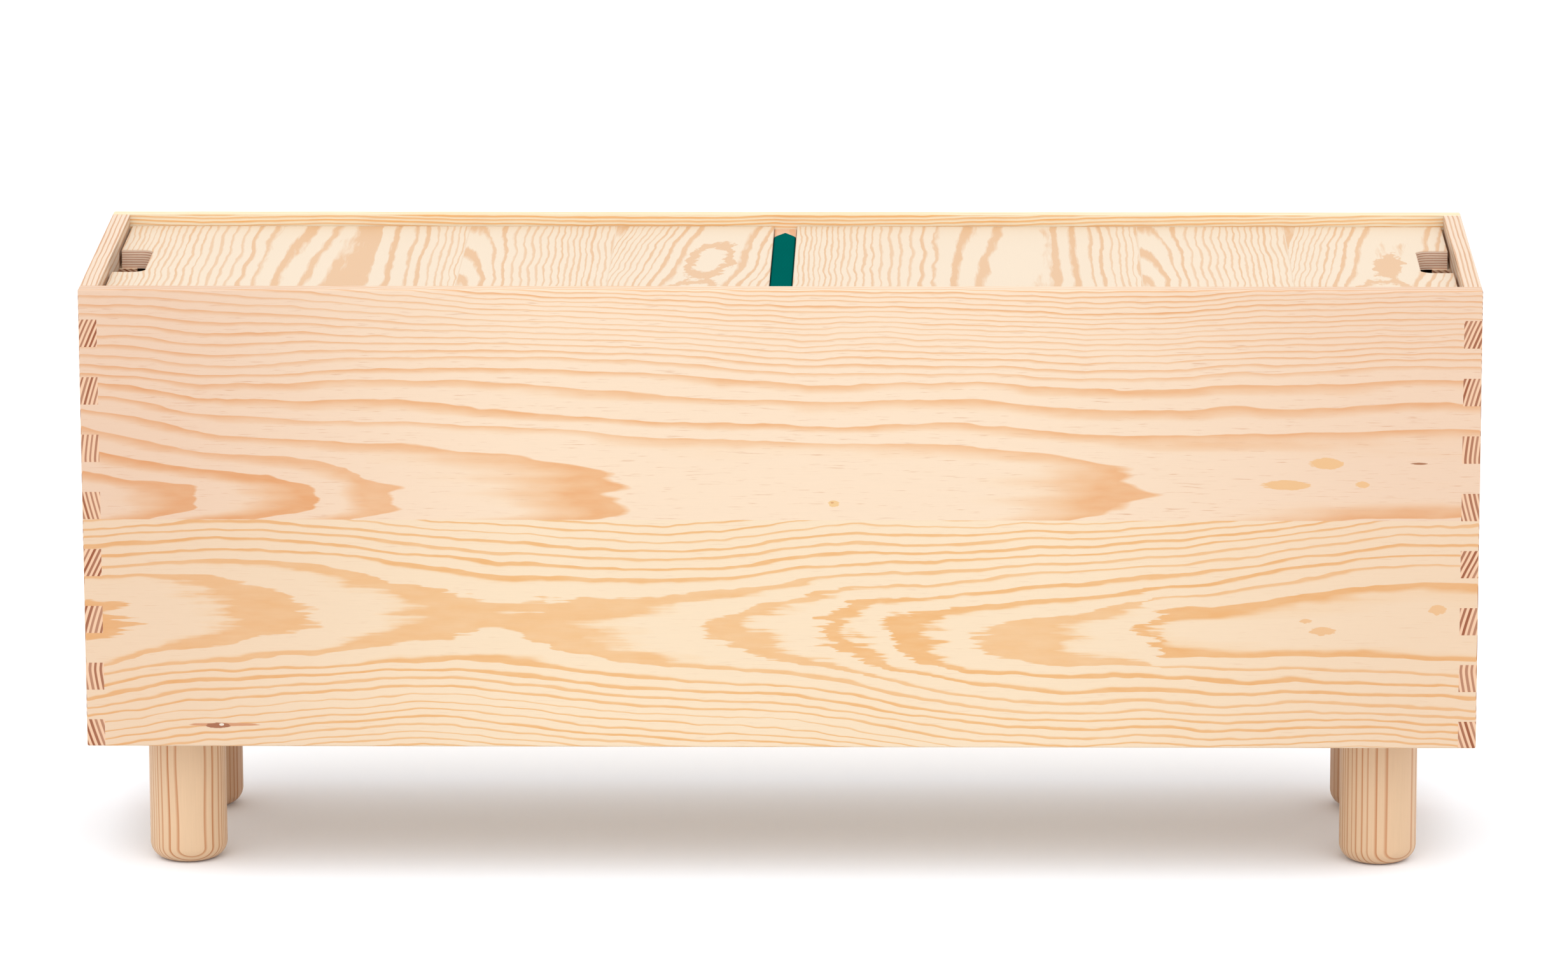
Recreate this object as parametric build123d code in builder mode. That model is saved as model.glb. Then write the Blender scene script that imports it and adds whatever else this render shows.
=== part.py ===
from build123d import *
import os

# Wooden toy box: a long finger-jointed pine box on four round legs, with two loose
# plywood lids let into its top and a woven strap lying on the rib between them.
# Millimetres. +X runs along the length, the front faces -Y, +Z is up, and the origin
# is on the floor under the middle of the box.

os.makedirs("parts", exist_ok=True)

# ---- driving dimensions ----
LENGTH = 1070.0  # over the end walls
DEPTH = 300.0  # front face to rear face
WALL = 14.0  # wall board thickness
BOARD_H = 180.0  # height of one wall board; every wall is two boards, edge to edge
EDGE_R = 1.5  # rounding of the outer edges

PITCH = 45.0  # finger joint pitch, up each board
PIN_H = 21.5  # height of an end board's pin
PINS = 4  # pins at each end of an end board

LEG_R = 30.0
LEG_SHOWN = 107.0  # leg length below the box
LEG_INSET = 71.0  # leg axis from the box's outer faces
FOOT_R = 13.0  # rounding of the foot

PANEL_T = 15.0  # bottom panel
PANEL_UP = 8.0  # panel underside above the walls' lower edge
GROOVE = 5.0  # depth of the panel groove in the walls

LID_T = 15.0
LID_DROP = 9.0  # lid top below the rim
LID_END_GAP = 2.0  # lid to end wall
LID_SIDE_GAP = 1.0  # lid to front and rear walls
LID_EDGE = 0.5  # broken top edge of a lid
NOTCH_DEEP = 25.0  # finger notch, from the lid's outer end
NOTCH_MOUTH = 84.0  # its width at the lid's end
NOTCH_CLOSED = 58.0  # its width at the closed end
NOTCH_STRAIGHT = 15.0  # straight run of its sides before they curve in

RIB_W = 17.0  # rib between the lids
RIB_DROP = 2.5  # rib top below the lid tops
RAIL_W = 47.0  # cross rail that carries the lids' inner ends
RAIL_H = 16.0
LEDGE_W = 14.0  # ledges that carry the lids along the walls
LEDGE_H = 20.0
END_LEDGE = 82.0  # length of the short ledges beside each finger notch

STRAP_W = 17.2
STRAP_T = 1.8
STRAP_POINT = 16.0  # length of the pointed end
STRAP_TIP_GAP = 21.0  # tip to the rear wall
STRAP_FRONT_GAP = 3.0  # square end to the front wall

SCREW_L = 22.0
SCREW_R = 1.7
SCREW_HEAD_R = 3.4
SCREW_TIP = 3.0  # length of the pointed end
SCREW_FIT = 0.1  # radial room round a screw
CROSS_L = 3.6  # cross recess in the head
CROSS_W = 0.8
CROSS_DEEP = 1.1

DOWEL_R = 4.0
DOWEL_L = 30.0
DOWEL_IN_WALL = 7.0
DOWEL_SPREAD = 26.0  # between the two dowels at an end of the rail
DOWEL_FIT = 0.05

BOLT_R = 3.9  # M8 bolt that holds a leg
BOLT_L = 38.0
BOLT_HEAD_R = 8.0
BOLT_HEAD_H = 4.5
BOLT_ROUND = 2.0
HEX_KEY = 5.0  # across flats
HEX_DEEP = 3.0
WASHER_R = 12.0
WASHER_T = 1.6
BOLT_HOLE_R = 4.5
INSERT_R = 6.0  # threaded insert in the leg's top
INSERT_L = 22.0
INSERT_BORE_R = 4.0
INSERT_ROOM = 6.0  # bore below the insert, for the bolt's end

TOL = 0.01

# ---- levels and inner sizes ----
BOX_BASE = LEG_SHOWN
SEAM = BOX_BASE + BOARD_H
RIM = SEAM + BOARD_H
INNER_L = LENGTH - 2 * WALL
INNER_D = DEPTH - 2 * WALL
PANEL_Z = BOX_BASE + PANEL_UP
PANEL_TOP = PANEL_Z + PANEL_T
LID_TOP = RIM - LID_DROP
LID_Z = LID_TOP - LID_T
LID_INNER = RIB_W / 2 + 0.5
LID_OUTER = INNER_L / 2 - LID_END_GAP
RIB_TOP = LID_TOP - RIB_DROP
RAIL_MID = LID_Z - RAIL_H / 2
LEDGE_MID = LID_Z - LEDGE_H / 2
LEG_X = LENGTH / 2 - LEG_INSET
LEG_Y = DEPTH / 2 - LEG_INSET
LEDGE_RUN = (INNER_L - RAIL_W) / 2  # one long ledge, from an end wall to the rail
LEDGE_MIDDLE_X = (RAIL_W + LEDGE_RUN) / 2
END_LEDGE_Y = INNER_D / 2 - LEDGE_W - END_LEDGE / 2
END_LEDGE_X = (INNER_L - LEDGE_W) / 2

LEG_PLACES = {
    "front_left": (-LEG_X, -LEG_Y),
    "front_right": (LEG_X, -LEG_Y),
    "rear_left": (-LEG_X, LEG_Y),
    "rear_right": (LEG_X, LEG_Y),
}
# Screws stand at these shares of a ledge's length, from its middle.
LONG_SCREWS = (-0.43, -0.15, 0.15, 0.43)
SHORT_SCREWS = (-0.28, 0.28)


def save(builder, name):
    """Label one finished piece and write its STEP file."""
    builder.part.label = name
    export_step(builder.part, f"parts/{name}.step")


def on_outline(edge):
    """True for an edge where two outer faces of the box meet."""
    c = edge.center()
    outer = (
        abs(abs(c.X) - LENGTH / 2) < TOL,
        abs(abs(c.Y) - DEPTH / 2) < TOL,
        abs(c.Z - RIM) < TOL,
        abs(c.Z - BOX_BASE) < TOL,
    )
    return sum(outer) >= 2


# ---- wall boards ----
def long_screw_places():
    """X places of the screws through the long ledges."""
    return [
        side * LEDGE_MIDDLE_X + share * LEDGE_RUN
        for side in (-1, 1)
        for share in LONG_SCREWS
    ]


def short_screw_places():
    """Y places of the screws through the short ledges of one end."""
    return [
        side * END_LEDGE_Y + share * END_LEDGE
        for side in (-1, 1)
        for share in SHORT_SCREWS
    ]


def long_board(side, base):
    """A front (side -1) or rear (side 1) board, slotted for the end boards' pins."""
    far_face = max(side * DEPTH / 2, side * DEPTH / 2 - side * WALL)
    inner_face = side * INNER_D / 2
    with BuildPart() as board:
        with BuildSketch(Plane.XZ.offset(-far_face)):
            with Locations((0, base + BOARD_H / 2)):
                Rectangle(LENGTH, BOARD_H)
            slots = [
                (end * (LENGTH - WALL) / 2, base + k * PITCH + PIN_H / 2)
                for end in (-1, 1)
                for k in range(PINS)
            ]
            with Locations(slots):
                Rectangle(WALL, PIN_H, mode=Mode.SUBTRACT)
        extrude(amount=WALL)
        fillet(board.edges().filter_by(on_outline), EDGE_R)
        if base == BOX_BASE:
            with BuildSketch(Plane.XY.offset(PANEL_Z)):
                with Locations((0, inner_face + side * GROOVE / 2)):
                    Rectangle(INNER_L, GROOVE)
            extrude(amount=PANEL_T, mode=Mode.SUBTRACT)
        else:
            with BuildSketch(Plane.XZ.offset(-inner_face)):
                with Locations([(x, LEDGE_MID) for x in long_screw_places()]):
                    Circle(SCREW_R + SCREW_FIT)
            extrude(amount=-side * (SCREW_L - LEDGE_W), mode=Mode.SUBTRACT)
            with BuildSketch(Plane.XZ.offset(-inner_face)):
                with Locations([(s * DOWEL_SPREAD / 2, RAIL_MID) for s in (-1, 1)]):
                    Circle(DOWEL_R + DOWEL_FIT)
            extrude(amount=-side * (DOWEL_IN_WALL + DOWEL_FIT), mode=Mode.SUBTRACT)
    return board


def end_board(side, base):
    """A left (side -1) or right (side 1) board, with pins at both ends."""
    near_face = min(side * LENGTH / 2, side * LENGTH / 2 - side * WALL)
    inner_face = side * INNER_L / 2
    gap_h = PITCH - PIN_H
    with BuildPart() as board:
        with BuildSketch(Plane.YZ.offset(near_face)):
            with Locations((0, base + BOARD_H / 2)):
                Rectangle(DEPTH, BOARD_H)
            slots = [
                (end * (DEPTH - WALL) / 2, base + k * PITCH + PIN_H + gap_h / 2)
                for end in (-1, 1)
                for k in range(PINS)
            ]
            with Locations(slots):
                Rectangle(WALL, gap_h, mode=Mode.SUBTRACT)
        extrude(amount=WALL)
        fillet(board.edges().filter_by(on_outline), EDGE_R)
        if base == BOX_BASE:
            with BuildSketch(Plane.XY.offset(PANEL_Z)):
                with Locations((inner_face + side * GROOVE / 2, 0)):
                    Rectangle(GROOVE, INNER_D)
            extrude(amount=PANEL_T, mode=Mode.SUBTRACT)
        else:
            with BuildSketch(Plane.YZ.offset(inner_face)):
                with Locations([(y, LEDGE_MID) for y in short_screw_places()]):
                    Circle(SCREW_R + SCREW_FIT)
            extrude(amount=side * (SCREW_L - LEDGE_W), mode=Mode.SUBTRACT)
    return board


for level, base in (("lower", BOX_BASE), ("upper", SEAM)):
    save(long_board(-1, base), f"front_{level}_board")
    save(long_board(1, base), f"rear_{level}_board")
    save(end_board(-1, base), f"left_{level}_board")
    save(end_board(1, base), f"right_{level}_board")

# ---- bottom panel: its four edges are tongues in the walls' grooves ----
with BuildPart() as bottom_panel:
    with BuildSketch(Plane.XY.offset(PANEL_Z)):
        Rectangle(INNER_L + 2 * GROOVE, INNER_D)
        Rectangle(INNER_L, INNER_D + 2 * GROOVE)
        with Locations(list(LEG_PLACES.values())):
            Circle(BOLT_HOLE_R, mode=Mode.SUBTRACT)
    extrude(amount=PANEL_T)
save(bottom_panel, "bottom_panel")

# ---- legs and what holds them ----
for place, (x, y) in LEG_PLACES.items():
    with BuildPart() as leg:
        with Locations((x, y, PANEL_Z / 2)):
            Cylinder(LEG_R, PANEL_Z)
        fillet(leg.edges().group_by(Axis.Z)[0], FOOT_R)
        chamfer(leg.edges().group_by(Axis.Z)[-1], 1.0)
        with Locations((x, y, PANEL_Z)):
            Hole(INSERT_R, depth=INSERT_L)
            Hole(INSERT_BORE_R, depth=INSERT_L + INSERT_ROOM)
    save(leg, f"leg_{place}")

with BuildPart() as leg_inserts:
    with BuildSketch(Plane.XY.offset(PANEL_Z)):
        with Locations(list(LEG_PLACES.values())):
            Circle(INSERT_R)
            Circle(INSERT_BORE_R, mode=Mode.SUBTRACT)
    extrude(amount=-INSERT_L)
save(leg_inserts, "leg_inserts")

with BuildPart() as leg_washers:
    with BuildSketch(Plane.XY.offset(PANEL_TOP)):
        with Locations(list(LEG_PLACES.values())):
            Circle(WASHER_R)
            Circle(BOLT_HOLE_R, mode=Mode.SUBTRACT)
    extrude(amount=WASHER_T)
save(leg_washers, "leg_washers")

HEAD_Z = PANEL_TOP + WASHER_T
with BuildPart() as leg_bolts:
    with BuildSketch(Plane.XY.offset(HEAD_Z)):
        with Locations(list(LEG_PLACES.values())):
            Circle(BOLT_HEAD_R)
    extrude(amount=BOLT_HEAD_H)
    fillet(leg_bolts.edges().group_by(Axis.Z)[-1], BOLT_ROUND)
    with BuildSketch(Plane.XY.offset(HEAD_Z)):
        with Locations(list(LEG_PLACES.values())):
            Circle(BOLT_R)
    extrude(amount=-BOLT_L)
    with BuildSketch(Plane.XY.offset(HEAD_Z + BOLT_HEAD_H)):
        with Locations(list(LEG_PLACES.values())):
            RegularPolygon(HEX_KEY / 2, 6, major_radius=False)
    extrude(amount=-HEX_DEEP, mode=Mode.SUBTRACT)
save(leg_bolts, "leg_bolts")


# ---- ledges under the lids, screwed to the walls from inside ----
def ledge(centre, size, inward, screw_places):
    """A strip against a wall; inward points into the box, and the screws go the other way."""
    with BuildPart() as strip:
        with Locations(centre):
            Box(*size)
        for place in screw_places:
            with Locations(Plane(place, z_dir=inward)):
                CounterSinkHole(
                    SCREW_R + SCREW_FIT,
                    SCREW_HEAD_R + SCREW_FIT,
                    depth=LEDGE_W,
                    counter_sink_angle=90,
                )
    return strip


screw_planes = []
for side, wall in ((-1, "front"), (1, "rear")):
    for end, half in ((-1, "left"), (1, "right")):
        face_y = side * (INNER_D / 2 - LEDGE_W)
        middle_x = end * LEDGE_MIDDLE_X
        places = [(middle_x + share * LEDGE_RUN, face_y, LEDGE_MID) for share in LONG_SCREWS]
        screw_planes += [Plane(place, z_dir=(0, -side, 0)) for place in places]
        strip = ledge(
            (middle_x, side * (INNER_D - LEDGE_W) / 2, LEDGE_MID),
            (LEDGE_RUN, LEDGE_W, LEDGE_H),
            (0, -side, 0),
            places,
        )
        save(strip, f"{wall}_ledge_{half}")

for end, wall in ((-1, "left"), (1, "right")):
    for side, half in ((-1, "front"), (1, "rear")):
        face_x = end * (INNER_L / 2 - LEDGE_W)
        middle_y = side * END_LEDGE_Y
        places = [(face_x, middle_y + share * END_LEDGE, LEDGE_MID) for share in SHORT_SCREWS]
        screw_planes += [Plane(place, z_dir=(-end, 0, 0)) for place in places]
        strip = ledge(
            (end * END_LEDGE_X, middle_y, LEDGE_MID),
            (LEDGE_W, END_LEDGE, LEDGE_H),
            (-end, 0, 0),
            places,
        )
        save(strip, f"{wall}_ledge_{half}")

# One countersunk wood screw, head up and point down, with a cross recess.
with BuildPart() as screw:
    with BuildSketch(Plane.XZ):
        with BuildLine():
            Polyline(
                (0, 0),
                (SCREW_HEAD_R, 0),
                (SCREW_R, SCREW_R - SCREW_HEAD_R),
                (SCREW_R, SCREW_TIP - SCREW_L),
                (0, -SCREW_L),
                close=True,
            )
        make_face()
    revolve(axis=Axis.Z)
    with BuildSketch():
        Rectangle(CROSS_L, CROSS_W)
        Rectangle(CROSS_W, CROSS_L)
    extrude(amount=-CROSS_DEEP, mode=Mode.SUBTRACT)

with BuildPart() as ledge_screws:
    with Locations(*screw_planes):
        add(screw.part)
save(ledge_screws, "ledge_screws")

# ---- cross rail under the lids' inner ends, and the rib that parts the lids ----
with BuildPart() as centre_rail:
    with Locations((0, 0, RAIL_MID)):
        Box(RAIL_W, INNER_D, RAIL_H)
    for side in (-1, 1):
        with BuildSketch(Plane.XZ.offset(-side * INNER_D / 2)):
            with Locations([(s * DOWEL_SPREAD / 2, RAIL_MID) for s in (-1, 1)]):
                Circle(DOWEL_R + DOWEL_FIT)
        extrude(amount=side * (DOWEL_L - DOWEL_IN_WALL + DOWEL_FIT), mode=Mode.SUBTRACT)
save(centre_rail, "centre_rail")

with BuildPart() as rail_dowels:
    for side in (-1, 1):
        with BuildSketch(Plane.XZ.offset(-side * (INNER_D / 2 + DOWEL_IN_WALL))):
            with Locations([(s * DOWEL_SPREAD / 2, RAIL_MID) for s in (-1, 1)]):
                Circle(DOWEL_R)
        extrude(amount=side * DOWEL_L)
save(rail_dowels, "rail_dowels")

with BuildPart() as centre_rib:
    with Locations((0, 0, (LID_Z + RIB_TOP) / 2)):
        Box(RIB_W, INNER_D, RIB_TOP - LID_Z)
save(centre_rib, "centre_rib")

# ---- woven strap on the rib: square at the front, pointed at the rear ----
STRAP_TIP_Y = INNER_D / 2 - STRAP_TIP_GAP
STRAP_END_Y = STRAP_FRONT_GAP - INNER_D / 2
with BuildPart() as strap:
    with BuildSketch(Plane.XY.offset(RIB_TOP)):
        with BuildLine():
            Polyline(
                (-STRAP_W / 2, STRAP_END_Y),
                (STRAP_W / 2, STRAP_END_Y),
                (STRAP_W / 2, STRAP_TIP_Y - STRAP_POINT),
                (0, STRAP_TIP_Y),
                (-STRAP_W / 2, STRAP_TIP_Y - STRAP_POINT),
                close=True,
            )
        make_face()
    extrude(amount=STRAP_T)
save(strap, "strap")


# ---- lids ----
def lid(end):
    """The left (end -1) or right (end 1) lid, with a finger notch at its outer end."""
    outer = end * LID_OUTER
    curve = end * (LID_OUTER - NOTCH_STRAIGHT)
    closed = end * (LID_OUTER - NOTCH_DEEP)
    width = INNER_D - 2 * LID_SIDE_GAP
    mouth = NOTCH_MOUTH / 2
    back = NOTCH_CLOSED / 2
    with BuildPart() as board:
        with BuildSketch(Plane.XY.offset(LID_Z)):
            with Locations((end * (LID_INNER + LID_OUTER) / 2, 0)):
                Rectangle(LID_OUTER - LID_INNER, width)
            with BuildLine():
                Line((outer, -mouth), (outer, mouth))
                Line((outer, mouth), (curve, mouth))
                TangentArc((curve, mouth), (closed, back), tangent=(-end, 0))
                Line((closed, back), (closed, -back))
                TangentArc((curve, -mouth), (closed, -back), tangent=(-end, 0))
                Line((curve, -mouth), (outer, -mouth))
            make_face(mode=Mode.SUBTRACT)
        extrude(amount=LID_T)
        chamfer(board.faces().sort_by(Axis.Z)[-1].outer_wire().edges(), LID_EDGE)
    return board


save(lid(-1), "lid_left")
save(lid(1), "lid_right")
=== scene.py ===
"""Wooden toy box: materials, strap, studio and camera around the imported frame. Metres."""

import math

import bmesh
import bpy
from mathutils import Matrix, Vector


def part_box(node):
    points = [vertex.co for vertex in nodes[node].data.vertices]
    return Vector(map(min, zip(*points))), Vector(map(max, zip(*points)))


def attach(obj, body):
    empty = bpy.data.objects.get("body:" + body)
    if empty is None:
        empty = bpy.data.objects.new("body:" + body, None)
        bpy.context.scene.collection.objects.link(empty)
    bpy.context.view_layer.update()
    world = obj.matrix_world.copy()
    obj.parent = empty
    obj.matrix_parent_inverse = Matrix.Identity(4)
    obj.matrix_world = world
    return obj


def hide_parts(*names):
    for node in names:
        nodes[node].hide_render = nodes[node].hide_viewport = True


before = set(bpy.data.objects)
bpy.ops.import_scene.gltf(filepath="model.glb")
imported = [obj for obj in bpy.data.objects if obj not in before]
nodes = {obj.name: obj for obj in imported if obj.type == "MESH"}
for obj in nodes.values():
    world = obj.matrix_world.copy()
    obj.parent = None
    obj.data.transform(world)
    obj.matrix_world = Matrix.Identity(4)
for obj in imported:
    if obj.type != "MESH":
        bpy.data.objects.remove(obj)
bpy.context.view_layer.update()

MM = 0.001
EXPOSURE = 1.47  # light on an upright face in the open studio, where 1 shows white as white


# ---------------------------------------------------------------- node arithmetic
class Num:
    """A number that a material's nodes work out. Arithmetic on it adds Math nodes."""

    def __init__(self, tree, socket):
        self.tree = tree
        self.socket = socket

    def math(self, operation, *others, clamp=False):
        node = self.tree.nodes.new("ShaderNodeMath")
        node.operation = operation
        node.use_clamp = clamp
        for place, value in zip(node.inputs, (self, *others)):
            feed(self.tree, place, value)
        return Num(self.tree, node.outputs[0])

    def __add__(self, other):
        return self.math("ADD", other)

    def __sub__(self, other):
        return self.math("SUBTRACT", other)

    def __rsub__(self, other):
        return (self * -1.0) + other

    def __mul__(self, other):
        return self.math("MULTIPLY", other)

    def __truediv__(self, other):
        return self.math("DIVIDE", other)

    def __pow__(self, other):
        return self.math("POWER", other)

    def __abs__(self):
        return self.math("ABSOLUTE")

    def fract(self):
        return self.math("FRACT")

    def floor(self):
        return self.math("FLOOR")

    def step(self, low, high):
        """0 below low, 1 above high, and smooth between; high may be the lower one."""
        node = self.tree.nodes.new("ShaderNodeMapRange")
        node.interpolation_type = "SMOOTHSTEP"
        ends = (low, high, 0.0, 1.0) if low < high else (high, low, 1.0, 0.0)
        feed(self.tree, node.inputs["Value"], self)
        for name, value in zip(("From Min", "From Max", "To Min", "To Max"), ends):
            node.inputs[name].default_value = value
        return Num(self.tree, node.outputs["Result"])

    def curve(self, points):
        """A smooth curve through (input, output) points, flat beyond its ends."""
        lows = [min(p[k] for p in points) for k in (0, 1)]
        spans = [max(p[k] for p in points) - lows[k] or 1.0 for k in (0, 1)]
        share = (self - lows[0]) / spans[0]
        node = self.tree.nodes.new("ShaderNodeFloatCurve")
        line = node.mapping.curves[0].points
        while len(line) < len(points):
            line.new(0.5, 0.5)
        for spot, point in zip(line, sorted(points)):
            spot.location = [(point[k] - lows[k]) / spans[k] for k in (0, 1)]
        node.mapping.extend = "HORIZONTAL"
        node.mapping.update()
        feed(self.tree, node.inputs["Value"], share)
        return Num(self.tree, node.outputs[0]) * spans[1] + lows[1]


def feed(tree, place, value):
    """Put a number, colour or Num into a node's input."""
    if isinstance(value, Num):
        tree.links.new(value.socket, place)
    else:
        place.default_value = value


def vector(a, b, c):
    """Three numbers as one vector."""
    tree = next(v.tree for v in (a, b, c) if isinstance(v, Num))
    node = tree.nodes.new("ShaderNodeCombineXYZ")
    for place, value in zip(node.inputs, (a, b, c)):
        feed(tree, place, value)
    return Num(tree, node.outputs[0])


def noise(a, b, c, detail=2.0, rough=0.5):
    """Smooth noise from -0.5 to 0.5 or so; a, b and c are places in noise cells."""
    where = vector(a, b, c)
    node = where.tree.nodes.new("ShaderNodeTexNoise")
    where.tree.links.new(where.socket, node.inputs["Vector"])
    node.inputs["Scale"].default_value = 1.0
    node.inputs["Detail"].default_value = detail
    node.inputs["Roughness"].default_value = rough
    return Num(where.tree, node.outputs[0]) - 0.5


def white(value, seed):
    """A random number from 0 to 1 for each whole value."""
    where = vector(value, seed, 0.0)
    node = where.tree.nodes.new("ShaderNodeTexWhiteNoise")
    where.tree.links.new(where.socket, node.inputs["Vector"])
    return Num(where.tree, node.outputs["Value"])


def mix(share, first, second):
    """first where share is 0 and second where it is 1; both are colours."""
    node = share.tree.nodes.new("ShaderNodeMix")
    node.data_type = "RGBA"
    share.tree.links.new(share.socket, node.inputs[0])
    feed(share.tree, node.inputs[6], first)
    feed(share.tree, node.inputs[7], second)
    return Num(share.tree, node.outputs[2])


def shade(colour, factor):
    """The colour times a number."""
    node = factor.tree.nodes.new("ShaderNodeMix")
    node.data_type = "RGBA"
    node.blend_type = "MULTIPLY"
    node.inputs[0].default_value = 1.0
    feed(factor.tree, node.inputs[6], colour)
    factor.tree.links.new(factor.socket, node.inputs[7])
    return Num(factor.tree, node.outputs[2])


def rgb(red, green, blue):
    """A screen colour, 0 to 255, as the linear colour that a shader takes."""
    parts = [c / 255 for c in (red, green, blue)]
    linear = [c / 12.92 if c <= 0.04045 else ((c + 0.055) / 1.055) ** 2.4 for c in parts]
    return (*linear, 1.0)


def seen(red, green, blue):
    """The colour of a matt surface that shows as this screen colour in the studio's light."""
    return (*(c / EXPOSURE for c in rgb(red, green, blue)[:3]), 1.0)


def new_material(name):
    """An empty node material, its shader, and the object's own x, y and z and normal."""
    material = bpy.data.materials.new(name)
    material.use_nodes = True
    tree = material.node_tree
    shader = tree.nodes["Principled BSDF"]
    place = tree.nodes.new("ShaderNodeTexCoord")
    axes = {}
    for output, prefix in (("Object", ""), ("Normal", "n")):
        split = tree.nodes.new("ShaderNodeSeparateXYZ")
        tree.links.new(place.outputs[output], split.inputs[0])
        for k, letter in enumerate("xyz"):
            axes[prefix + letter] = Num(tree, split.outputs[k])
    return material, shader, axes


def finish_material(tree, shader, colour, roughness, height, rise):
    """Link colour and roughness, and a bump that is rise metres high where height is 1."""
    feed(tree, shader.inputs["Base Color"], colour)
    feed(tree, shader.inputs["Roughness"], roughness)
    bump = tree.nodes.new("ShaderNodeBump")
    bump.inputs["Strength"].default_value = 1.0
    bump.inputs["Distance"].default_value = rise
    feed(tree, bump.inputs["Height"], height)
    tree.links.new(bump.outputs[0], shader.inputs["Normal"])


# ---------------------------------------------------------------- wood
WOOD_RISE = 0.06 * MM  # of the fibres and the late wood
WOOD_SPECULAR = 0.35


def finish_wood(tree, shader, colour, roughness, height):
    """Bare sanded wood: colour, roughness, a fine relief and a weak reflection."""
    finish_material(tree, shader, colour, roughness, height, WOOD_RISE)
    shader.inputs["Specular IOR Level"].default_value = WOOD_SPECULAR


def clamp(value):
    """The Num held between 0 and 1."""
    return value.math("ADD", 0.0, clamp=True)


def latewood(rings, seed, start, soft, sharp):
    """How much of the dark late wood shows, 0 to 1, where rings counts the rings. The dark part of a ring
    comes in over the share soft of its width, from the share start or so, and goes over its last part, the
    share sharp."""
    part = rings.fract()
    chance = white(rings.floor(), seed)
    begin = (chance - 0.5) * 0.16 + start
    rise = clamp((part - begin) / soft)
    fall = clamp((1.0 - part) / sharp)
    return rise * fall * (white(rings.floor(), seed + 7.0) * 0.3 + 0.7)


def stations(u, curves, away):
    """A curve of away that changes along the grain: curves is a list of (place, curve) pairs."""
    value = away.curve(curves[0][1])
    for (low, _), (high, points) in zip(curves, curves[1:]):
        value = value + (away.curve(points) - value) * u.step(low, high)
    return value


# ---------------------------------------------------------------- pine
EARLY = seen(254, 229, 196)
YELLOW = seen(254, 213, 160)
LATE = seen(247, 189, 124)
END_EARLY = seen(252, 208, 172)
END_LATE = seen(162, 90, 54)
LEG_EARLY = seen(252, 214, 173)
LEG_LATE = seen(212, 138, 82)
# The legs' red-brown tint: their random tone, and painted shade on the rear legs.
RED_TONE_AND_SHADE = seen(186, 106, 60)
STREAK = seen(226, 176, 138)
# Painted shade: the tint that darkens and reddens both ends of the front boards, standing in for the light
# falling off towards the ends.
END_SHADE_TINT = seen(186, 80, 36)
TURN_MM = 3.0  # radius of the turn that a ring line makes at the flame's middle


def board_rings(
    u, v, w, seed, side, pith, middle, spread, far=None, ring_mm=5.0, teeth=1.0, lumps=1.0, wave=1.0
):
    """The ring count at each point of a flat-sawn board, and the point's distance from the flame's middle in
    mm. u runs along the grain, v across the board and w into it; side is 1 on a side face and 0 on an end.
    pith gives the count along the flame's middle, far the smoother count that lines beside the flame follow,
    middle the place of the flame's middle, and spread, at stations along the grain, the rings counted away
    from it. teeth, lumps and wave say how ragged, uneven and wavy the lines are."""
    fine_shift = noise(u * 13, v * 420, seed, 3, 0.6) * (0.055 * teeth)
    broad_shift = noise(u * 32, v * 75, seed + 3.0, 2, 0.5) * (0.050 * lumps)
    shifted = u + (fine_shift + broad_shift) * side
    bend = noise(u * 6, v * 8, seed, 1, 0.5) * 20
    ripple = noise(u * 20, v * 30, seed + 5.5, 2, 0.5) * 8
    ripple = ripple + noise(u * 62, v * 110, seed + 8.5, 1, 0.5) * 2.4
    off = (v - u.curve(middle)) / MM + (bend + ripple) * wave
    away = (off * off + TURN_MM**2) ** 0.5
    along = shifted.curve(pith)
    if far:
        along = along + (u.curve(far) - along) * away.step(14.0, 48.0)
    rings = along + stations(u, spread, away) + w * (1 / (ring_mm * MM))
    return rings + noise(u * 2.5, v * 90, seed + 13.0, 1, 0.5) * 0.5 * side, away


def flecked(face, u, v, seed, marks):
    """The face with small torn-edged flecks. A mark is its place along and across the board, its half length
    and half height, and its colour."""
    for place_u, place_v, half_u, half_v, tint in marks:
        reach = ((u - place_u) / half_u) ** 2 + ((v - place_v) / half_v) ** 2
        torn = noise((u - place_u) / half_u, (v - place_v) / half_v, seed + place_u, 3, 0.6) * 2.6
        face = mix((reach + torn).step(1.25, 0.9), face, tint)
    return face


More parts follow.
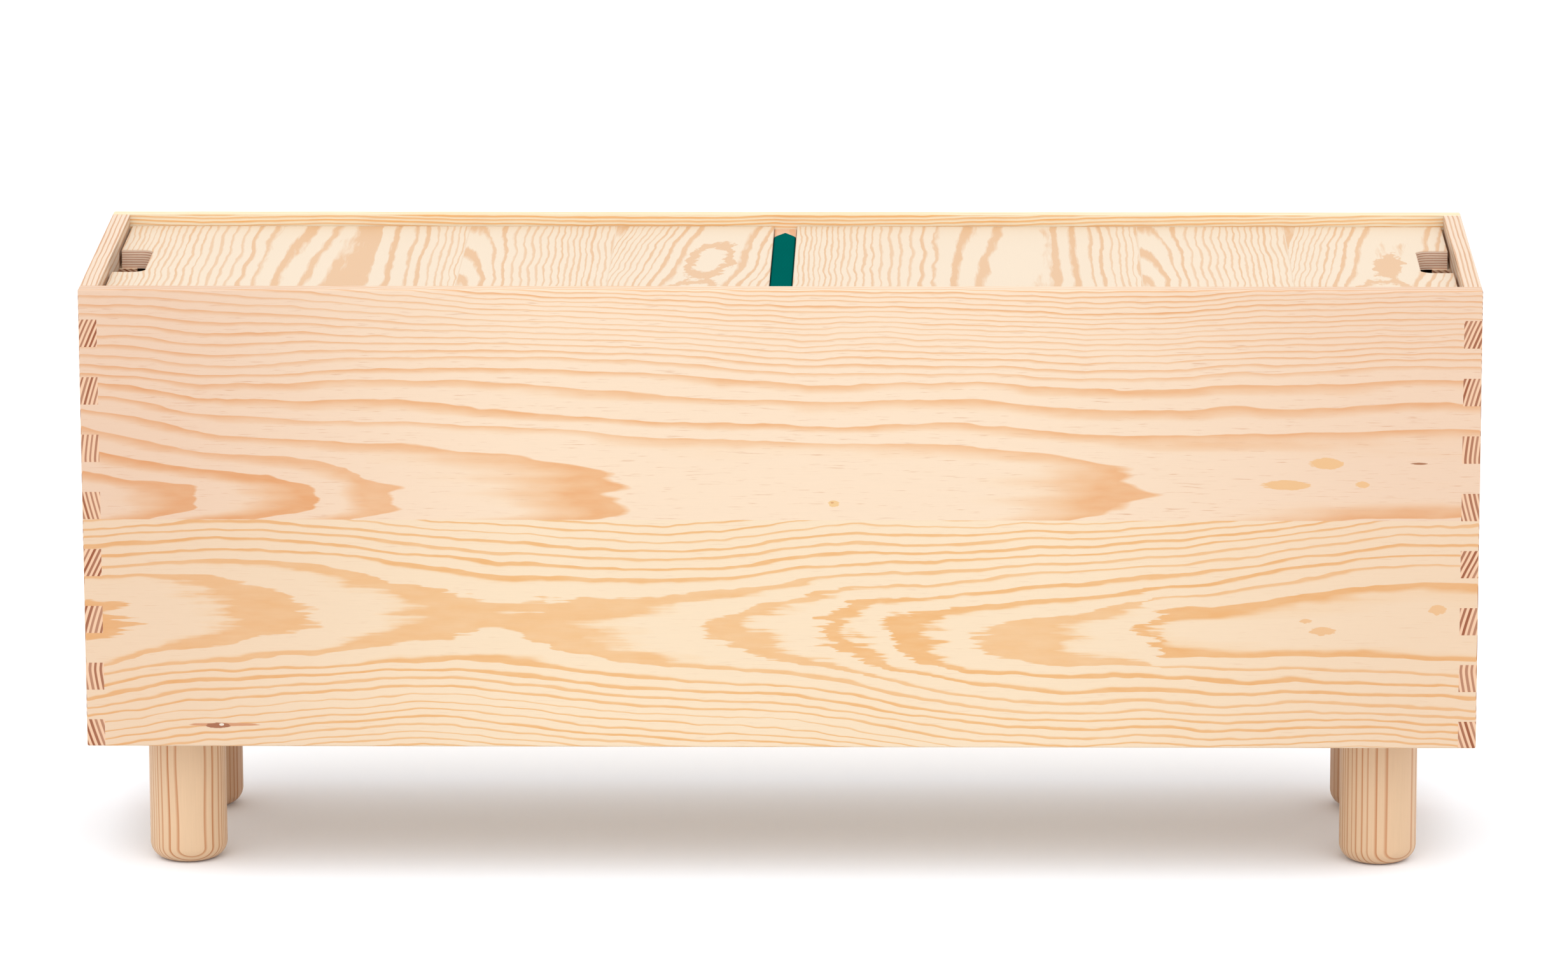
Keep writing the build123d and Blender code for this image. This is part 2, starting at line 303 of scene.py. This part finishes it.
def pine(
    name,
    grain,
    across,
    depth,
    seed,
    early=EARLY,
    late=LATE,
    start=0.50,
    soft=0.10,
    streaks=0.3,
    painted_end_shade=(0.0, 0.0),
    marks=(),
    **figure,
):
    """Flat-sawn pine, with end grain where a face looks along the grain. grain, across and depth are axis
    letters, depth with the sign in which rings are crossed. The late wood comes in at the share start of a
    ring, over the share soft. streaks is how strong the short brown streaks are, and blush how much painted
    shade darkens and reddens the board at its left end and at its right end, standing in for the light
    falling off towards the ends. marks are flecks, as flecked takes them, and figure is what board_rings
    takes."""
    material, shader, axes = new_material(name)
    tree = material.node_tree
    u = axes[grain]
    v = axes[across]
    w = axes[depth[-1]] * (-1.0 if depth[0] == "-" else 1.0)
    end = abs(axes["n" + grain]).step(0.55, 0.8)
    rings, away = board_rings(u, v, w, seed, 1.0 - end, **figure)
    begin = away.step(8.0, 36.0) * 0.20 + start + noise(u * 9, v * 60, seed + 17.0, 2, 0.5) * 0.35
    amount = latewood(rings, seed, begin, soft, 0.035)
    edge = latewood(rings, seed, begin - 0.10, soft + 0.10, 0.035)

    fibre = noise(u * 30, v * 1500, w * 1500, 3, 0.7)
    dash = noise(u * 55, v * 900, w * 900 + seed, 2, 0.5).step(0.10, 0.30) * streaks
    tone = noise(u * 3, v * 8, w * 8 + seed, 2, 0.5)
    mottle = noise(u * 40, v * 160, seed + 21.0, 2, 0.5)
    face = mix(edge * 0.6, early, YELLOW)
    face = mix(amount * (mottle * 0.7 + 0.9), face, late)
    face = shade(face, fibre * 0.07 + tone * 0.05 + 1.0)
    face = mix(dash * (1.0 - amount) * 0.8, face, STREAK)
    # Painted shade: both ends of the board darker and redder, standing in for the light falling off towards
    # the ends.
    face = mix(u.step(-0.15, -0.53) * painted_end_shade[0] + u.step(0.15, 0.53) * painted_end_shade[1], face, END_SHADE_TINT)
    face = flecked(face, u, v, seed, marks)

    pores = noise(u * 300, v * 1900, w * 1900, 2, 0.6)
    cut = latewood(rings, seed, 0.42, 0.14, 0.05)
    sawn = shade(mix(cut, END_EARLY, END_LATE), pores * 0.16 + 1.0)
    colour = mix(end, face, sawn)
    roughness = fibre * 0.10 + end * 0.12 + 0.52
    finish_wood(tree, shader, colour, roughness, amount * 0.35 + fibre * 0.6)
    return material


def paint(node, material):
    """The node shows this material alone."""
    slots = nodes[node].data.materials
    slots.clear()
    slots.append(material)


SPECK = seen(244, 195, 144)
ISLAND = seen(246, 197, 142)
RESIN = seen(176, 112, 78)
FRONT_LOWER = dict(
    pith=[(-0.535, -1.3), (-0.492, -1.0), (-0.349, 0.0), (-0.262, 0.55), (-0.21, 0.86), (-0.165, 0.55),
          (-0.065, 0.0), (-0.003, -0.62), (0.031, -1.0), (0.053, -1.5), (0.076, -2.0), (0.110, -2.5),
          (0.144, -3.0), (0.214, -3.45), (0.282, -4.0), (0.297, -4.5), (0.36, -4.62), (0.535, -4.62)],
    far=[(-0.535, -1.3), (-0.349, 0.0), (-0.21, 0.75), (-0.065, 0.0), (0.03, -1.0), (0.144, -2.9),
         (0.25, -4.0), (0.535, -4.62)],
    middle=[(-0.535, 0.206), (-0.43, 0.214), (-0.349, 0.217), (-0.2, 0.209), (-0.065, 0.201), (0.03, 0.203),
            (0.144, 0.195), (0.3, 0.197), (0.42, 0.204), (0.535, 0.207)],
    spread=[
        (-0.50, [(0, 0), (12, 0.12), (25, 0.4), (37, 1.25), (45, 2.2), (54, 3.2), (62, 4.2), (75, 6.2),
                 (94, 9.2), (115, 13.0)]),
        (-0.30, [(0, 0), (12, 0.15), (22, 0.5), (32, 0.95), (44, 1.95), (51, 2.95), (59, 4.0), (72, 6.0),
                 (95, 9.6), (115, 13.2)]),
        (0.25, [(0, 0), (12, 0.15), (22, 0.6), (32, 1.6), (42, 2.6), (51, 3.6), (59, 4.6), (72, 6.6),
                (85, 8.6), (115, 14.5)]),
        (0.50, [(0, 0), (20, 0.2), (31, 0.62), (45, 1.62), (53, 2.62), (62, 3.62), (70, 4.62), (76, 5.62),
                (115, 13.5)]),
    ],
    marks=[
        (0.403, 0.208, 0.0045, 0.0017, SPECK),
        (0.416, 0.200, 0.0095, 0.0032, SPECK),
        (0.504, 0.217, 0.0065, 0.0038, SPECK),
        (-0.430, 0.1245, 0.026, 0.0013, seen(222, 160, 118)),
        (-0.434, 0.1238, 0.009, 0.0021, RESIN),
        (-0.431, 0.1245, 0.0018, 0.0010, seen(250, 232, 214)),
    ],
)
FRONT_UPPER = dict(
    pith=[(-0.535, 0.0), (-0.4456, 1.0), (-0.3557, 2.0), (-0.299, 3.0), (-0.22, 3.45), (-0.127, 4.0),
          (-0.09, 4.14), (0.10, 4.16), (0.19, 4.5), (0.268, 5.0), (0.32, 5.16), (0.535, 5.2)],
    far=[(-0.535, 0.0), (-0.299, 2.9), (-0.127, 4.0), (0.10, 4.2), (0.268, 4.9), (0.535, 5.2)],
    middle=[(-0.535, 0.300), (-0.299, 0.306), (0.10, 0.306), (0.268, 0.3115), (0.40, 0.320), (0.535, 0.325)],
    spread=[
        (-0.46, [(0, 0), (10, 0.15), (24, 0.95), (45, 2.0), (60, 3.0), (74, 4.0), (87, 5.2), (100, 6.8),
                 (175, 16.4)]),
        (-0.18, [(0, 0), (22, 0.1), (46, 0.95), (60, 1.95), (80, 2.95), (95, 3.95), (105, 4.95),
                 (110.5, 5.95), (116, 6.95), (175, 20.8)]),
        (0.44, [(0, 0), (20, 0.12), (36, 0.85), (55, 1.85), (74, 2.85), (85, 3.85), (91, 4.85),
                (96.5, 5.85), (175, 25.0)]),
    ],
    marks=[
        (0.417, 0.332, 0.012, 0.0042, ISLAND),
        (0.386, 0.315, 0.017, 0.0036, ISLAND),
        (0.445, 0.3155, 0.005, 0.0024, ISLAND),
        (0.488, 0.332, 0.006, 0.0008, seen(178, 122, 86)),
        (0.041, 0.300, 0.004, 0.0024, seen(250, 208, 148)),
        (0.040, 0.3008, 0.0012, 0.0006, seen(226, 168, 110)),
    ],
)
PLAIN = dict(
    pith=[(-0.535, 0.0), (-0.3, 1.2), (0.0, 2.1), (0.3, 1.0), (0.535, -0.6)],
    middle=[(-0.535, 0.20), (0.535, 0.205)],
    spread=[(0.0, [(0, 0), (30, 1.6), (80, 6.0), (280, 55.0)])],
)
END_UPPER = dict(
    pith=[(-0.15, 0.0), (0.0, 0.7), (0.15, 1.2)],
    middle=[(-0.15, 0.335), (0.15, 0.345)],
    spread=[(0.0, [(0, 0), (35, 1.6), (100, 8.0), (140, 14.0)])],
)
END_LOWER = dict(
    pith=[(-0.15, 0.0), (0.0, 0.8), (0.15, 1.1)],
    middle=[(-0.15, 0.168), (0.15, 0.172)],
    spread=[(0.0, [(0, 0), (45, 2.4), (95, 7.5), (125, 12.0)])],
)
STRIP = dict(
    pith=[(-0.535, 0.0), (-0.2, 1.1), (0.1, 0.7), (0.535, 2.0)],
    middle=[(-0.535, 0.0), (0.535, 0.0)],
    spread=[(0.0, [(0, 0), (10, 1.2), (500, 120.0)])],
)

paint("front_upper_board", pine("pine_front_upper", "x", "z", "+y", 1.3, ring_mm=6, start=0.36, soft=0.42,
                                teeth=0.12, lumps=0.4, streaks=0.8, wave=0.7, early=seen(257, 230, 200),
                                late=seen(243, 178, 120), painted_end_shade=(0.23, 0.18), **FRONT_UPPER))
paint("front_lower_board", pine("pine_front_lower", "x", "z", "+y", 4.7, ring_mm=6, wave=0.8,
                                early=seen(257, 232, 198), painted_end_shade=(0.18, 0.16), **FRONT_LOWER))
# Painted light: the rear boards take plain colours, not seen() ones, so they are lighter than the other
# boards, which lifts their inner face where it lies in the box's shade.
for board in ("rear_upper_board", "rear_lower_board"):
    paint(board, pine("pine_" + board, "x", "z", "-y", 9.1 + len(board), ring_mm=3.6, start=0.2, soft=0.36,
                      teeth=0.5, lumps=0.4, wave=0.4, early=rgb(232, 218, 190), late=rgb(228, 172, 108),
                      **PLAIN))
for board in ("left_upper_board", "right_upper_board"):
    paint(board, pine("pine_" + board, "y", "z", "-x", 2.2 + len(board), ring_mm=3.6, wave=0.25, start=0.42,
                      early=seen(252, 226, 200), late=seen(222, 166, 122), **END_UPPER))
for board in ("left_lower_board", "right_lower_board"):
    paint(board, pine("pine_" + board, "y", "z", "-x", 6.2 + len(board), ring_mm=4.2, wave=0.25,
                      late=seen(236, 178, 122), **END_LOWER))
for name in ["centre_rail"] + [node for node in nodes if "_ledge_" in node]:
    grain, depth = ("x", "+y") if name.startswith(("front", "rear")) else ("y", "+x")
    paint(name, pine("pine_" + name, grain, "z", depth, 5.0 + len(name), **STRIP))
paint("centre_rib", pine("pine_centre_rib", "y", "x", "+z", 8.3, early=seen(250, 204, 170),
                         late=seen(240, 174, 130), **STRIP))


PITH = 0.25  # from a leg's axis to the middle of the tree
BARK_RING = 40.0  # number of the ring at the bark side


def turned_pine(name, centre, leg_radius, facing, ring_mm, first_mm, seed, red):
    """Straight-grained pine for a round leg. Its outermost ring line lies first_mm under the surface that
    looks in the direction facing, in degrees in plan. red is how much redder and browner the wood is painted;
    on the rear legs this is painted shade, for less light reaches them under the box."""
    material, shader, axes = new_material(name)
    tree = material.node_tree
    angle = math.radians(facing)
    z = axes["z"]
    sway = noise(z * 9, seed, 0.0, 1) * 0.0022
    x = axes["x"] - centre.x + math.cos(angle) * PITH + sway
    y = axes["y"] - centre.y + math.sin(angle) * PITH + sway
    depth = (PITH + leg_radius - (x * x + y * y) ** 0.5) / MM
    grow = noise(depth * 0.16, seed, 2.0, 1) * 0.8 + noise(x * 60, y * 60, z * 5 + seed, 1) * 0.10
    rings = (first_mm - depth) / ring_mm + grow + BARK_RING
    amount = latewood(rings, seed, 0.60, 0.26, 0.07)
    fibre = noise(x * 1500, y * 1500, z * 30, 3, 0.7)
    tone = noise(x * 60, y * 60, z * 9 + seed, 2)
    face = mix(amount, LEG_EARLY, LEG_LATE)
    # Painted shade: an even red-brown cast, strongest on the rear legs, standing in for the weaker light
    # under the box; tone varies it at random.
    face = mix(tone * 0.12 + red, face, RED_TONE_AND_SHADE)
    face = shade(face, fibre * 0.14 + tone * 0.16 + 1.0)
    end = abs(axes["nz"]).step(0.82, 0.97)
    colour = mix(end, face, mix(amount, END_EARLY, END_LATE))
    finish_wood(tree, shader, colour, fibre * 0.1 + 0.5, amount * 0.3 + fibre * 0.6)
    return material


LEGS = {  # direction that the bark side faces, ring width and depth of the first ring line in mm, and redness, which on the rear legs is painted shade
    "leg_front_left": (-81.0, 3.1, 1.5, 0.0),
    "leg_front_right": (-56.4, 4.1, 1.5, 0.06),
    "leg_rear_left": (20.0, 3.6, 0.8, 0.32),
    "leg_rear_right": (150.0, 4.4, 2.0, 0.32),
}
for k, (name, (facing, ring_mm, first_mm, red)) in enumerate(LEGS.items()):
    low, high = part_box(name)
    centre = (low + high) / 2
    leg_radius = (high.x - low.x) / 2
    seed = 3.0 + 2 * k
    paint(name, turned_pine("pine_" + name, centre, leg_radius, facing, ring_mm, first_mm, seed, red))


# ---------------------------------------------------------------- plywood
LEAF_1 = 0.269  # where the veneer leaves meet, from the lid's left end
LEAF_2 = 0.385
LEAVES = 0.52  # width of the three leaves together, after which they come again
SEAM = 0.5 * MM  # half the width over which one leaf turns into the next
HEART = 0.462  # place of the third leaf's knot, from the same end
KNOT_Y = 0.005
VENEER_FRONT = -0.135  # y of the lids' front edge
LAYER = 1.95 * MM  # thickness of a light ply and the darker one on it


def leaf_flame(x, y, shift):
    """Ring count in the first leaf: a flame whose lines lean to the right towards the rear."""
    lean = x.curve([(0.0, 0.0), (0.10, -0.01), (0.13, -0.04), (0.165, -0.075), (0.20, 0.0)])
    slanted = x + (y - VENEER_FRONT) * lean
    count = slanted.curve([(0.0, 22.0), (0.10, 3.9), (0.125, 1.9), (0.141, 1.0), (0.153, 0.42),
                           (0.162, 0.66), (0.180, 0.82), (0.199, 1.0), (0.216, 2.0), (0.232, 3.2),
                           (0.268, 9.0)])
    return count - shift * 0.7


def leaf_arches(x, y):
    """Ring count in the second leaf: arches one inside another, around a point on the front edge."""
    across = abs(x - LEAF_1).curve([(0.0, 0.0), (0.033, 3.4), (0.119, 19.0), (0.2, 33.0)])
    return (across * across + ((y - VENEER_FRONT) / 0.095) ** 2) ** 0.5


def leaf_heart(heart, y, shift):
    """Ring count in the third leaf: lines beside the knot, bulging away from it on the right. heart is how
    far right of the knot a point is."""
    count = abs(heart).curve([(0.0, 0.22), (0.016, 0.32), (0.028, 1.2), (0.045, 3.4), (0.08, 11.0)])
    bulge = clamp(1.0 - ((y - KNOT_Y) / 0.08) ** 2)
    return count - bulge * heart.step(0.016, 0.034) * 0.5 - shift * 0.3


def knot_loops(x, heart, y, seed, shift):
    """The third leaf's torn dark loop around its knot, and half a loop at the front edge, 0 to 1."""
    torn = noise(x * 90, y * 45, seed + 10 + shift, 3, 0.6) * 1.1
    knot = ((heart / 0.0165) ** 2 + ((y - KNOT_Y + shift * 0.05) / 0.062) ** 2) ** 0.5 + torn
    arch = ((heart / 0.027) ** 2 + ((y + 0.150) / 0.080) ** 2) ** 0.5 + torn * 0.6
    ring = knot.step(0.60 - 2 * shift, 0.74 - 2 * shift) * knot.step(1.18 - shift, 1.08 - shift)
    return clamp(ring + arch.step(0.78, 0.88) * arch.step(1.06, 0.98))


def veneer(plain, y, seed, shift):
    """How much late wood shows on the veneer, 0 to 1, and the warped place that its grain follows. plain
    counts metres from the first leaf's left edge."""
    slow = noise(plain * 9, y * 9, seed, 2, 0.5) * 0.012
    fine = noise(plain * 70, y * 26, seed + 4, 2, 0.5) * 0.0030
    finest = noise(plain * 260, y * 60, seed + 6, 1, 0.5) * 0.0012
    x = plain + slow + (fine + finest)
    heart = x - y * 0.10 - HEART
    past_first = plain.step(LEAF_1 - SEAM, LEAF_1 + SEAM)
    past_second = plain.step(LEAF_2 - SEAM, LEAF_2 + SEAM)
    rings = leaf_flame(x, y, shift) * (1.0 - past_first) + leaf_arches(x, y) * (past_first - past_second)
    rings = rings + leaf_heart(heart, y, shift) * past_second
    rings = rings + noise(x * 400, y * 24, seed + 2, 3, 0.6) * 0.25
    rings = rings + noise(x * 25, y * 12, seed + 8, 2) * 0.45
    begin = noise(x * 120, y * 14, seed + 12, 2, 0.5) * 0.5 + 0.56
    amount = latewood(rings, seed, begin, 0.16, 0.10)
    return amount.math("MAXIMUM", knot_loops(x, heart, y, seed, shift) * past_second * 0.9), x


def plywood(name, start, seed, shift):
    """Pine-faced plywood with three veneer leaves. start is the x of its left edge; grain runs front to back.
    shift moves the pattern in ring counts, as between two panels cut from one stack of veneer."""
    material, shader, axes = new_material(name)
    tree = material.node_tree
    x, y, z = (axes[letter] for letter in "xyz")
    amount, warped = veneer(((x - start) / LEAVES).fract() * LEAVES, y, seed, shift)
    fibre = noise(warped * 1500, y * 30, seed, 3, 0.7)
    face = mix(amount, seen(250, 229, 202), seen(238, 191, 144))
    face = shade(face, fibre * 0.08 + noise(warped * 8, y * 4, seed, 2) * 0.05 + 1.0)
    layers = (z / LAYER + noise(x * 30, y * 30, z * 200, 2) * 0.35).fract()
    dark = layers.step(0.5, 0.8) * layers.step(1.0, 0.9)
    grit = noise(x * 700, y * 700, z * 1800, 3, 0.7)
    # Painted light: the edge plies take plain colours, not seen() ones, so they show lighter than the faces,
    # which lifts the edges in the lids' shaded notches.
    side = shade(mix(dark, rgb(235, 210, 188), rgb(188, 133, 104)), grit * 0.2 + 1.0)
    edge = abs(axes["nz"]).step(0.8, 0.5)
    height = amount * 0.3 + fibre * 0.5 - edge * dark * 0.6
    finish_wood(tree, shader, mix(edge, face, side), fibre * 0.1 + 0.5 + edge * 0.2, height)
    return material


for name, shift in (("lid_left", 0.0), ("lid_right", 0.45)):
    paint(name, plywood("ply_" + name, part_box(name)[0].x, 3.0, shift))
paint("bottom_panel", plywood("ply_bottom_panel", -LEAVES, 12.0, 0.2))


# ---------------------------------------------------------------- strap
WEAVE_HOLLOW_SHADE_AND_TOP = (seen(0, 76, 71), seen(0, 122, 113))  # painted shade between the yarns, and the colour on them
YARN = 1.2 * MM  # pitch of the twill's ribs, across the strap
SLANT = 4.2  # a rib runs this far along the strap for each step across
CROSSING = 0.4  # yarns that slant the other way, for each rib across the strap
RELIEF = 0.16 * MM
POINT = 16 * MM  # length of the pointed rear end
ROUNDING = 1.2 * MM  # length over which the ends thin out
SELVEDGE = 1.4 * MM  # width of the edges, darker for their denser weave and for painted shade beside the lids
CELL = 0.3 * MM  # width of the mesh cells that carry the weave
CELL_LONG = 0.8 * MM  # their length


def twill(across, along):
    """Height of a herringbone twill, 0 to 1: two slanting zones that meet in a valley along the middle."""
    yarn = 0.5 + 0.5 * math.cos(2 * math.pi * (abs(across) - along / SLANT) / YARN)
    crossing = 0.5 + 0.5 * math.cos(2 * math.pi * (abs(across) * CROSSING + along / SLANT) / YARN)
    return 0.75 * yarn + 0.25 * crossing


def border(columns):
    """The points round the edge of a grid of columns, in order."""
    first, last = columns[0], columns[-1]
    near = [column[0] for column in columns]
    back = [column[-1] for column in columns[-2::-1]]
    return near + last[1:] + back + first[-2:0:-1]


def strap_mesh():
    """The webbing as one closed sheet: twill on top, plain below, round selvedges and a pointed rear end."""
    low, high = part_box("strap")
    width = high.x - low.x
    middle = (high.x + low.x) / 2
    mesh = bmesh.new()
    steps = round(width / CELL)
    rows = round((high.y - low.y) / CELL_LONG)
    top = []
    bottom = []
    for i in range(steps + 1):
        share = 2 * i / steps - 1
        across = share * width / 2
        tip = high.y - abs(share) * POINT
        selvedge = (1 - abs(share) ** 10) ** 0.5
        upper = []
        lower = []
        for j in range(rows + 1):
            y = low.y + (tip - low.y) * j / rows
            end = min(1.0, (y - low.y) / ROUNDING, (tip - y) / ROUNDING)
            round_off = max(0.0, min(1.0, selvedge)) * (0.45 + 0.55 * math.sqrt(max(end, 0.0)))
            thick = (high.z - low.z) * (0.35 + 0.65 * round_off)
            z = low.z + thick - RELIEF * (1 - twill(across, y)) * round_off
            upper.append(mesh.verts.new((middle + across, y, z)))
            if i in (0, steps) or j in (0, rows):
                lower.append(mesh.verts.new((middle + across, y, low.z)))
        top.append(upper)
        bottom.append(lower)
    for left, right in zip(top, top[1:]):
        for j in range(rows):
            mesh.faces.new((left[j], right[j], right[j + 1], left[j + 1]))
    rim = border(top)
    under = border(bottom)
    for k, vert in enumerate(rim):
        following = (k + 1) % len(rim)
        mesh.faces.new((vert, under[k], under[following], rim[following]))
    mesh.faces.new(under[::-1])
    bmesh.ops.recalc_face_normals(mesh, faces=mesh.faces)
    data = bpy.data.meshes.new("webbing_strap")
    mesh.to_mesh(data)
    mesh.free()
    for face in data.polygons:
        face.use_smooth = len(face.vertices) == 4
    return data


def webbing(half_width):
    """Teal polyester webbing: the twill painted darker between the yarns as shade in its hollows, the
    selvedges darker for their denser weave and for painted shade beside the lids, and matt.
    """
    material, shader, axes = new_material("webbing_teal")
    tree = material.node_tree
    across = abs(axes["x"])
    along = axes["y"]
    selvedge = across.step(half_width - SELVEDGE, half_width)
    turn = 2 * math.pi / YARN
    yarn = ((across - along / SLANT) * turn).math("COSINE") * 0.5 + 0.5
    ply = ((across * CROSSING + along / SLANT) * turn).math("COSINE") * 0.5 + 0.5
    fuzz = noise(axes["x"] * 2500, along * 2500, axes["z"] * 2500, 2, 0.6)
    band = noise(axes["x"] * 30, along * 18, 3.0, 2, 0.5)
    on_top = (yarn * 0.7 + ply * 0.3 + fuzz * 0.35) * (1.0 - selvedge)
    # Painted shade: darker between the yarns, and darker at the selvedges, where their denser weave meets the
    # shade beside the lids.
    colour = shade(mix(on_top, *WEAVE_HOLLOW_SHADE_AND_TOP), band * 0.16 + 1.0 - selvedge * 0.2)
    finish_material(tree, shader, colour, fuzz * 0.15 + 0.78, ply + fuzz * 0.6, 0.00008)
    shader.inputs["Specular IOR Level"].default_value = 0.0
    return material


strap_low, strap_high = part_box("strap")
strap_width = strap_high.x - strap_low.x
webbing_strap = bpy.data.objects.new("webbing_strap", strap_mesh())
bpy.context.scene.collection.objects.link(webbing_strap)
webbing_strap.data.materials.append(webbing(strap_width / 2))
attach(webbing_strap, "box")
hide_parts("strap")


# ---------------------------------------------------------------- metal and dowels
def metal(name, base, dull, roughness):
    """Plated or plain metal with faint turning marks and dull patches."""
    material, shader, axes = new_material(name)
    tree = material.node_tree
    patch = noise(axes["x"] * 400, axes["y"] * 400, axes["z"] * 400, 3, 0.6)
    marks = noise(axes["x"] * 900, axes["y"] * 900, axes["z"] * 6000, 2, 0.5)
    colour = mix(patch.step(-0.2, 0.3), base, dull)
    finish_material(tree, shader, colour, patch * 0.3 + roughness, marks, 0.00003)
    shader.inputs["Metallic"].default_value = 1.0
    return material


zinc = metal("zinc", rgb(196, 199, 203), rgb(160, 165, 172), 0.32)
for name in ("ledge_screws", "leg_bolts", "leg_washers"):
    paint(name, zinc)
paint("leg_inserts", metal("brass", rgb(214, 176, 104), rgb(176, 138, 76), 0.35))
paint("rail_dowels", pine("beech_dowel", "y", "x", "+z", 14.0, **STRIP))

# ---------------------------------------------------------------- studio and camera
FLOOR_SIZE = 40.0
scene = bpy.context.scene
scene.view_settings.view_transform = "Standard"

half = FLOOR_SIZE / 2
corners = [(-half, -half, 0), (half, -half, 0), (half, half, 0), (-half, half, 0)]
mesh = bpy.data.meshes.new("floor")
mesh.from_pydata(corners, [], [(0, 1, 2, 3)])
floor = bpy.data.objects.new("floor", mesh)
scene.collection.objects.link(floor)
material, shader, axes = new_material("floor_paper")
shader.inputs["Base Color"].default_value = rgb(247, 250, 255)
shader.inputs["Roughness"].default_value = 0.9
shader.inputs["Specular IOR Level"].default_value = 0.1
mesh.materials.append(material)

world = bpy.data.worlds.new("studio")
scene.world = world
world.use_nodes = True
background = world.node_tree.nodes["Background"]
background.inputs["Color"].default_value = (1, 1, 1, 1)
background.inputs["Strength"].default_value = 1.20

# A broad soft light from above and in front.
sun = bpy.data.lights.new("overhead", "SUN")
sun.energy = 1.0
sun.angle = math.radians(60)
overhead = bpy.data.objects.new("overhead", sun)
overhead.rotation_euler = (math.radians(30), 0, 0)
scene.collection.objects.link(overhead)

# The camera stands 6.4 m in front of the box, a little to its right, and looks down at it.
CAMERA_AT = Vector((0.1186, -6.5775, 1.8332))
YAW, PITCH, ROLL = (math.radians(a) for a in (-1.029, 13.264, -0.157))
LENS = 198.26  # mm, on a sensor as wide as SENSOR
SENSOR = 36.0
ahead = Vector((math.sin(YAW) * math.cos(PITCH), math.cos(YAW) * math.cos(PITCH), -math.sin(PITCH)))
right = Vector((math.cos(YAW), -math.sin(YAW), 0))
up = right.cross(ahead)
tilted_right = right * math.cos(ROLL) + up * math.sin(ROLL)
tilted_up = up * math.cos(ROLL) - right * math.sin(ROLL)
data = bpy.data.cameras.new("camera")
data.lens = LENS
data.sensor_width = SENSOR
camera = bpy.data.objects.new("camera", data)
scene.collection.objects.link(camera)
turn = Matrix((tilted_right, tilted_up, -ahead)).transposed().to_4x4()
camera.matrix_world = Matrix.Translation(CAMERA_AT) @ turn
scene.camera = camera
